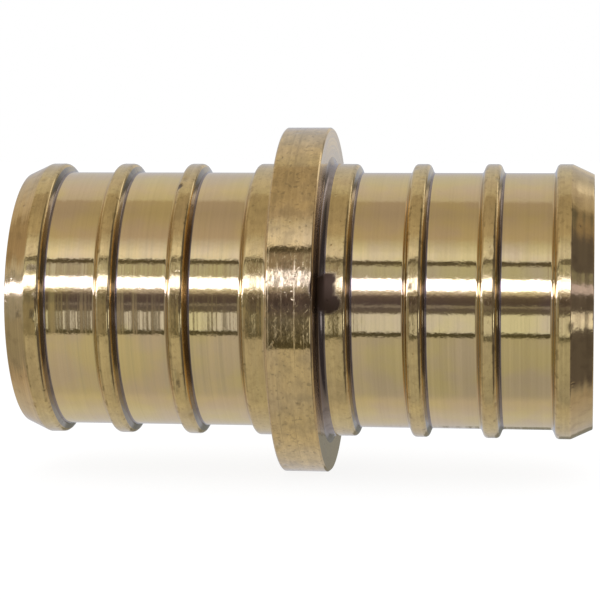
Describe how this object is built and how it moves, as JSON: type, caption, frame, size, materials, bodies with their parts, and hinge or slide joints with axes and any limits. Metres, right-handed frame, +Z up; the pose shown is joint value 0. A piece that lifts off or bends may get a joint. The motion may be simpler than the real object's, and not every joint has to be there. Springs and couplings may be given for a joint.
{
  "type": "insert pipe coupling",
  "caption": "Straight brass insert coupling for crimped plastic water tube: a ribbed insert on each side of a round stop collar, with an open waterway through it.",
  "frame": {"origin": "middle of the stop collar on the axis of the bore", "axes": "+X along the bore, +Z up; both ends are alike"},
  "size_m": [0.0352, 0.0214, 0.0214],
  "materials": {
    "brass": "turned, uncoated"
  },
  "bodies": {
    "root": {"coupling_body": "brass"}
  },
  "joints": []
}
